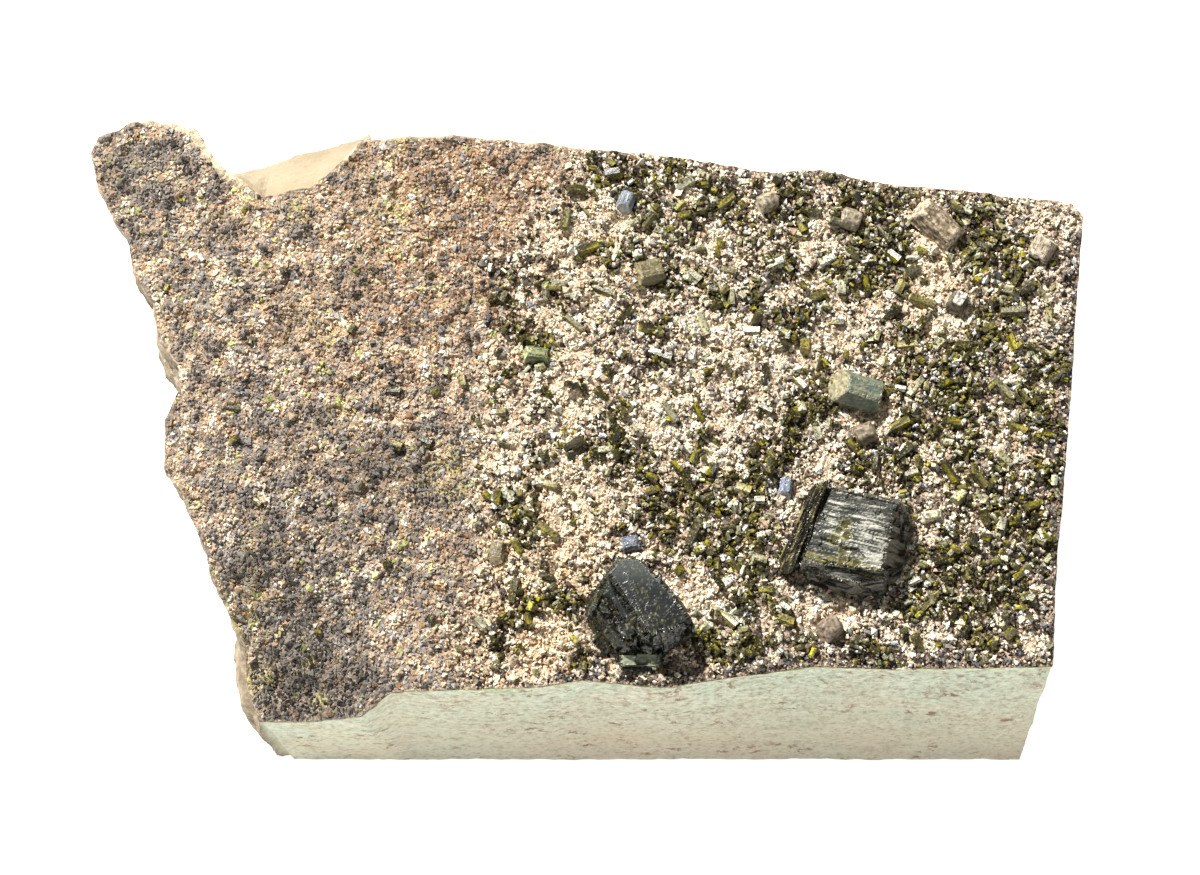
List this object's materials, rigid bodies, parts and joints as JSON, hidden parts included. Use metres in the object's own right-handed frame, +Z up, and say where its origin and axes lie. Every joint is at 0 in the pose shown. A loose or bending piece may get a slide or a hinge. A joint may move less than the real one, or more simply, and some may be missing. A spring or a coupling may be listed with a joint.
{
  "type": "epidote crystal cluster on rock matrix",
  "caption": "Mineral specimen: dark epidote crystals and small green prisms on a druse crust over a flat-based slab of pale host rock, for display.",
  "frame": {"origin": "middle of the box that holds the specimen, on the flat base that it rests on", "axes": "+Z up out of the druse face, +X along the long side towards the end with the two large crystals' coarse druse, +Y away from the leaning front wall"},
  "size_m": [0.0923, 0.0576, 0.024],
  "materials": {
    "host_rock": "fine-grained pale grey-green rock, broken and sawn, matte",
    "druse": "sugary grains of cream, brown and dark grey with small green crystals, rough",
    "dark_epidote": "near-black olive crystal, striated, glassy",
    "green_epidote": "olive to yellow-green crystal, glassy",
    "blue_green_crystal": "blue-green prism with a cream end, satin",
    "slate_crystal": "slate blue crystal, glassy",
    "tan_crystal": "tan crystal, satin",
    "cream_crystal": "cream crystal, striated, satin"
  },
  "bodies": {
    "root": {"matrix_rock": "host_rock", "druse_crust": "druse", "epidote_large_right": "dark_epidote", "epidote_large_left": "dark_epidote", "blue_green_prism": "blue_green_crystal", "tan_crystal_back_left": "tan_crystal", "tan_crystal_back_right": "tan_crystal", "cream_striated_block": "cream_crystal", "cream_crystal_corner": "cream_crystal", "brown_green_tablet": "green_epidote", "slate_prism_back": "slate_crystal", "green_prism_middle": "green_epidote", "slate_tablet_front": "slate_crystal", "slate_prism_middle": "slate_crystal", "tan_crystal_front": "tan_crystal", "tan_crystal_middle": "tan_crystal", "cream_prism_right": "cream_crystal", "white_topped_cube": "cream_crystal", "dark_cream_prism_left": "green_epidote"}
  },
  "joints": []
}
